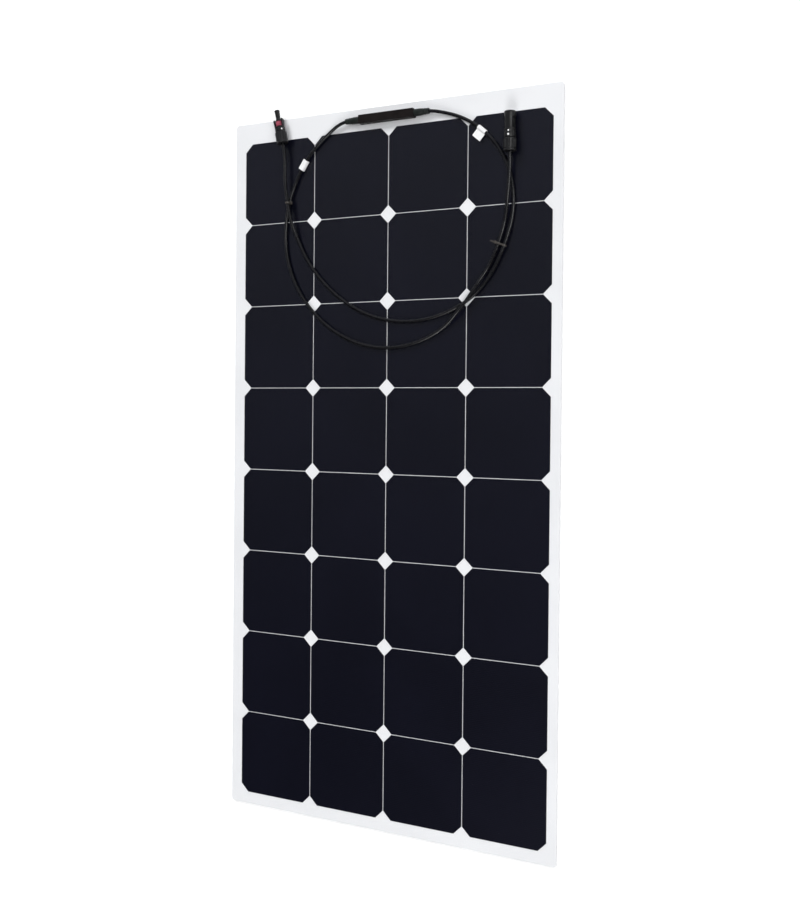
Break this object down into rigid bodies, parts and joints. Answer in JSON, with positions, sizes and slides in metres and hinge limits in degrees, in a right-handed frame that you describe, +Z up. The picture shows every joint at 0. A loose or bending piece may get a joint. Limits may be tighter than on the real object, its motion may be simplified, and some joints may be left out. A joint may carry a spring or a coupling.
{
  "type": "flexible solar sheet",
  "caption": "Thin bendable photovoltaic laminate: grid of dark square cells in a white sheet, slim junction box at one end, two looped leads with locking plug connectors.",
  "frame": {"origin": "centre of the sheet's flat underside", "axes": "+X across the sheet's width, +Y along its length towards the junction-box end, +Z up through the cells"},
  "size_m": [0.54, 1.0782, 0.0211],
  "materials": {
    "cell_silicon": "dark blue-black silicon, fine silver lines, seen through the clear film",
    "front_film_clear": "clear satin fluoropolymer film",
    "encapsulant_white": "smooth white laminate",
    "backsheet_white": "satin white, faint glass-fibre weave",
    "tinned_ribbon": "tinned copper, dull silver",
    "box_black_brown": "fine-grained brown-black plastic",
    "lid_black_brown": "fine-grained brown-black plastic",
    "diode_black": "moulded epoxy",
    "relief_rubber": "matt elastomer",
    "lead_jacket": "satin cable jacket",
    "plug_plastic": "satin glass-filled nylon",
    "nut_plastic": "satin glass-filled nylon",
    "latch_plastic": "satin glass-filled nylon",
    "contact_tinned": "bright tin plate",
    "seal_red": "red silicone",
    "tie_nylon": "satin nylon",
    "label_white": "blank white wrap label"
  },
  "bodies": {
    "sheet": {"backsheet": "backsheet_white", "bus_ribbon_bottom_left": "tinned_ribbon", "bus_ribbon_bottom_right": "tinned_ribbon", "bus_ribbon_top_left": "tinned_ribbon", "bus_ribbon_top_middle": "tinned_ribbon", "bus_ribbon_top_right": "tinned_ribbon", "bypass_diode": "diode_black", "cable_tie_lower": "tie_nylon", "cable_tie_upper": "tie_nylon", "cell_r1_c1": "cell_silicon", "cell_r1_c2": "cell_silicon", "cell_r1_c3": "cell_silicon", "cell_r1_c4": "cell_silicon", "cell_r2_c1": "cell_silicon", "cell_r2_c2": "cell_silicon", "cell_r2_c3": "cell_silicon", "cell_r2_c4": "cell_silicon", "cell_r3_c1": "cell_silicon", "cell_r3_c2": "cell_silicon", "cell_r3_c3": "cell_silicon", "cell_r3_c4": "cell_silicon", "cell_r4_c1": "cell_silicon", "cell_r4_c2": "cell_silicon", "cell_r4_c3": "cell_silicon", "cell_r4_c4": "cell_silicon", "cell_r5_c1": "cell_silicon", "cell_r5_c2": "cell_silicon", "cell_r5_c3": "cell_silicon", "cell_r5_c4": "cell_silicon", "cell_r6_c1": "cell_silicon", "cell_r6_c2": "cell_silicon", "cell_r6_c3": "cell_silicon", "cell_r6_c4": "cell_silicon", "cell_r7_c1": "cell_silicon", "cell_r7_c2": "cell_silicon", "cell_r7_c3": "cell_silicon", "cell_r7_c4": "cell_silicon", "cell_r8_c1": "cell_silicon", "cell_r8_c2": "cell_silicon", "cell_r8_c3": "cell_silicon", "cell_r8_c4": "cell_silicon", "connector_body_left": "plug_plastic", "connector_shell_right": "plug_plastic", "contact_pin": "contact_tinned", "contact_socket": "contact_tinned", "encapsulant": "encapsulant_white", "front_film": "front_film_clear", "junction_box_base": "box_black_brown", "lead_left": "lead_jacket", "lead_marker_left": "label_white", "lead_marker_right": "label_white", "lead_right": "lead_jacket", "seal_ring": "seal_red", "strain_relief_left": "relief_rubber", "strain_relief_right": "relief_rubber"},
    "junction_box_lid": {"junction_box_lid": "lid_black_brown"},
    "gland_nut_left": {"gland_nut_left": "nut_plastic"},
    "gland_nut_right": {"gland_nut_right": "nut_plastic"},
    "latch_finger_left": {"latch_finger_left": "latch_plastic"},
    "latch_finger_right": {"latch_finger_right": "latch_plastic"}
  },
  "joints": [
    {"name": "junction_box_lid_lift", "type": "slide", "parent": "sheet", "child": "junction_box_lid", "axis": [0, 0, 1], "range_m": [0, 0.025]},
    {"name": "gland_nut_left_turn", "type": "hinge", "parent": "sheet", "child": "gland_nut_left", "pos_m": [-0.1772, 0.4936, 0.0121], "axis": [0.2113, -0.9774, 0], "range_deg": [0, 1260]},
    {"name": "gland_nut_right_turn", "type": "hinge", "parent": "sheet", "child": "gland_nut_right", "pos_m": [0.196, 0.444, 0.0121], "axis": [0, -1, 0], "range_deg": [0, 1260]},
    {"name": "latch_finger_left_squeeze", "type": "hinge", "parent": "sheet", "child": "latch_finger_left", "pos_m": [-0.18929, 0.51779, 0.0121], "axis": [0, 0, -1], "range_deg": [0, 5], "stiffness_Nm_per_rad": 0.001},
    {"name": "latch_finger_right_squeeze", "type": "hinge", "parent": "sheet", "child": "latch_finger_right", "pos_m": [-0.17619, 0.52062, 0.0121], "axis": [0, 0, 1], "range_deg": [0, 5], "stiffness_Nm_per_rad": 0.001}
  ]
}
